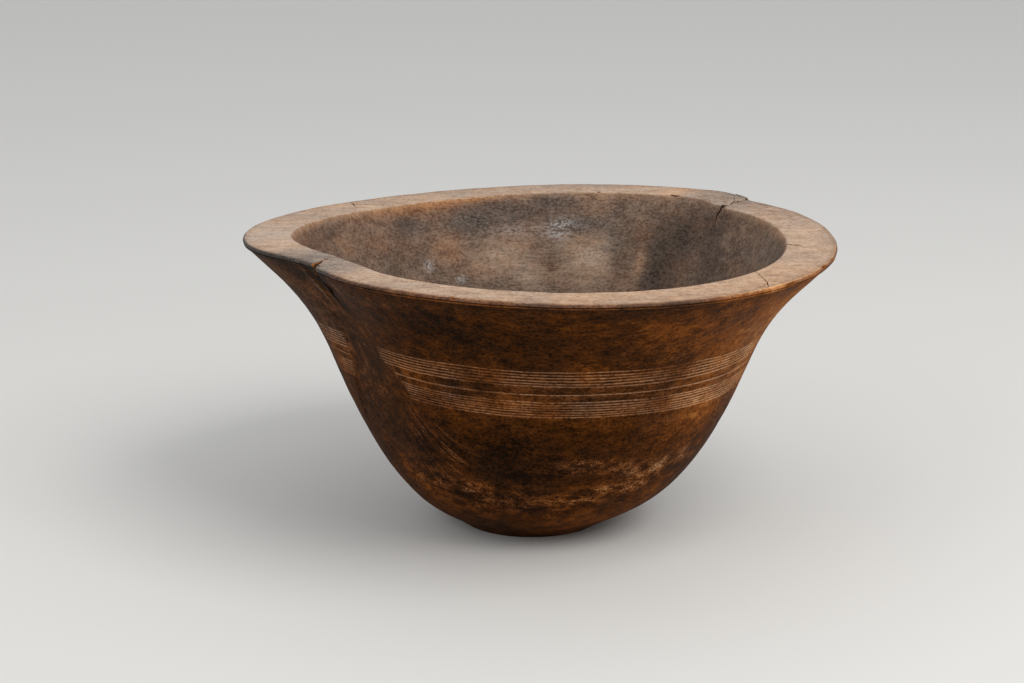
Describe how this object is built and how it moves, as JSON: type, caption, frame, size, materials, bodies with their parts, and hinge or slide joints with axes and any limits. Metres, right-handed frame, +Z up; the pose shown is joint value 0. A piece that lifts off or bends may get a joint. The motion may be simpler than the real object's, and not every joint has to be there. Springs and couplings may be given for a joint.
{
  "type": "milk bowl",
  "caption": "Flared wooden milk bowl carved from one block, with a thick flat rim, a sunk flute in its wall, split rim and small flat foot. Holds milk or food.",
  "frame": {"origin": "on the resting plane, under the middle of the bowl's outline", "axes": "+Z up out of the mouth; -Y towards the side that the picture shows; +X to its right"},
  "size_m": [0.3796, 0.3798, 0.1903],
  "materials": {
    "patinated_wood": "old dark brown patina, matt to satin, with a paler worn rim",
    "bare_wood": "worn and weathered bare wood, matt"
  },
  "bodies": {
    "root": {"bowl_body": "patinated_wood", "rear_rim_splinter": "bare_wood"}
  },
  "joints": []
}
